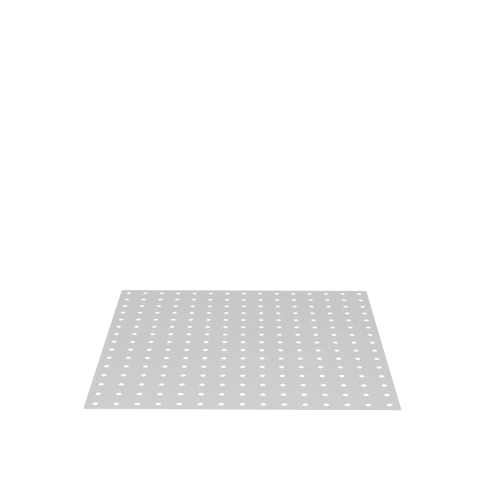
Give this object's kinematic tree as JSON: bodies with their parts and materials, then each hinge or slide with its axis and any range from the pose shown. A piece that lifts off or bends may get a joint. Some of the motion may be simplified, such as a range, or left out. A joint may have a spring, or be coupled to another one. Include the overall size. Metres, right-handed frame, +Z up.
{
  "type": "drilled plate",
  "caption": "Flat square aluminium plate drilled all over with a regular square grid of round bolt holes, for a base, shelf, panel or tooling surface.",
  "frame": {"origin": "middle of the bottom face, on the surface that the plate lies on", "axes": "+Z up through the sheet, +X along one side to the right and +Y along the other side to the back"},
  "size_m": [0.6, 0.6, 0.001],
  "materials": {
    "aluminium": "mill finish, satin, with deburred edges"
  },
  "bodies": {
    "root": {"drilled_plate": "aluminium"}
  },
  "joints": []
}
